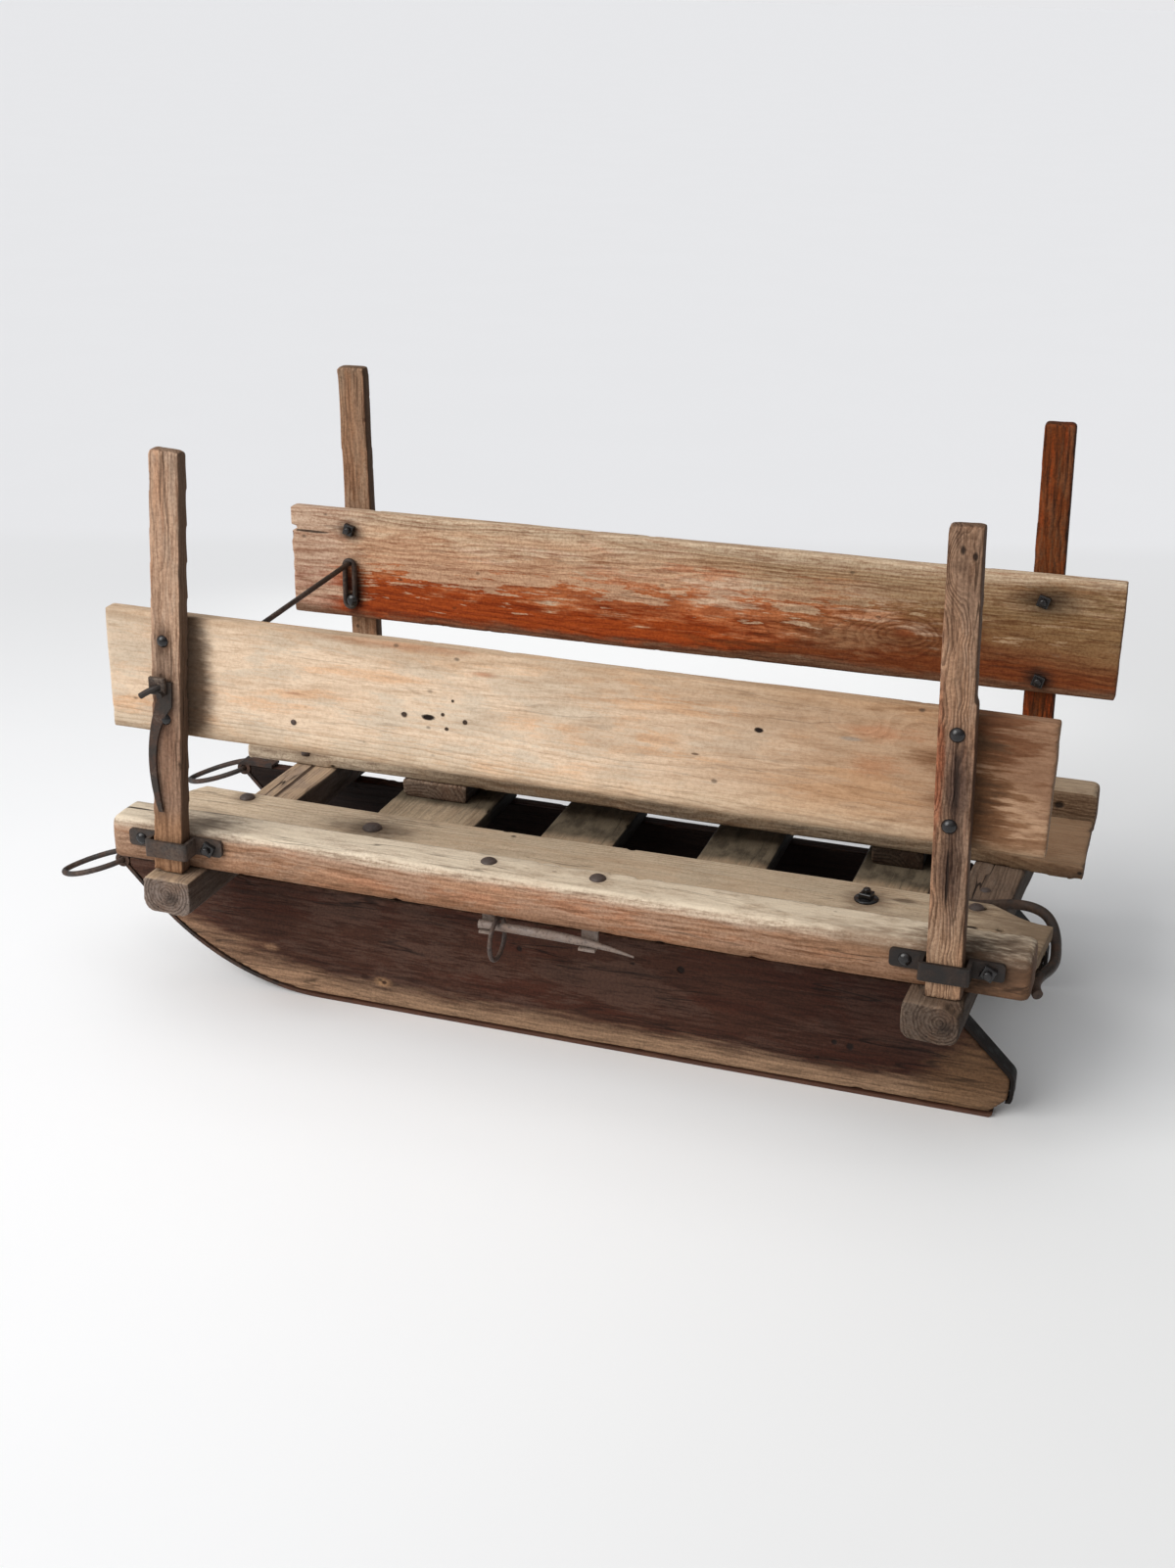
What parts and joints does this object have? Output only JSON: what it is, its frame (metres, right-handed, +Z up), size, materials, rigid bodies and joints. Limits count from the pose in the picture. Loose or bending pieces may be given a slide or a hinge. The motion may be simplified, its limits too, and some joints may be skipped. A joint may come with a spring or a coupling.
{
  "type": "dog sled",
  "caption": "Low wooden dog sled on two plank runners shod with iron, with bolsters, deck slats, rails and two staked side boards.",
  "frame": {"origin": "middle of the bounding box in X and Y, on the floor that the runner shoes stand on", "axes": "+X forward towards the curved runner tips, +Y to the sled's left, +Z up"},
  "size_m": [1.1532, 0.5606, 0.6502],
  "materials": {
    "runner_wood": "dark reddish brown weathered plank, lighter along the bottom",
    "shoe_iron": "flat iron, rusted and worn",
    "bolster_wood": "worn hardwood with open end grain",
    "deck_wood": "bare grey-tan boards",
    "rail_wood": "bare tan wood, reddish on the outer face",
    "stake_wood": "brown weathered wood with raised grain",
    "board_wood_bleached": "bleached tan wood with pink and grey streaks",
    "board_wood_painted": "tan wood with worn orange-red paint",
    "dark_iron": "forged iron, dark and rusted"
  },
  "bodies": {
    "sled": {"beam_left": "rail_wood", "beam_right": "rail_wood", "bolster_front": "bolster_wood", "bolster_rear": "bolster_wood", "plank_left": "rail_wood", "plank_right": "rail_wood", "pull_ring_left": "dark_iron", "pull_ring_right": "dark_iron", "rear_pull_rod": "dark_iron", "riser_front_left": "deck_wood", "riser_front_right": "deck_wood", "riser_rear_left": "deck_wood", "riser_rear_right": "deck_wood", "runner_left": "runner_wood", "runner_right": "runner_wood", "shoe_left": "shoe_iron", "shoe_right": "shoe_iron", "slat_1": "deck_wood", "slat_2": "deck_wood", "slat_3": "deck_wood", "slat_4": "deck_wood", "spike": "dark_iron", "spike_bracket_front": "dark_iron", "spike_bracket_rear": "dark_iron", "spike_ring": "dark_iron", "staple_front_left": "dark_iron", "staple_front_right": "dark_iron", "staple_rear_left": "dark_iron", "staple_rear_right": "dark_iron", "tail_strap_left": "shoe_iron", "tail_strap_right": "shoe_iron"},
    "side_racks": {"side_board_left": "board_wood_bleached", "side_board_right": "board_wood_painted", "stake_front_left": "stake_wood", "stake_front_right": "stake_wood", "stake_rear_left": "stake_wood", "stake_rear_right": "stake_wood", "tie_rod": "dark_iron", "tie_rod_key": "dark_iron"}
  },
  "joints": [
    {"name": "side_racks_lift", "type": "slide", "parent": "sled", "child": "side_racks", "axis": [0, 0, 1], "range_m": [0, 0.12]}
  ]
}
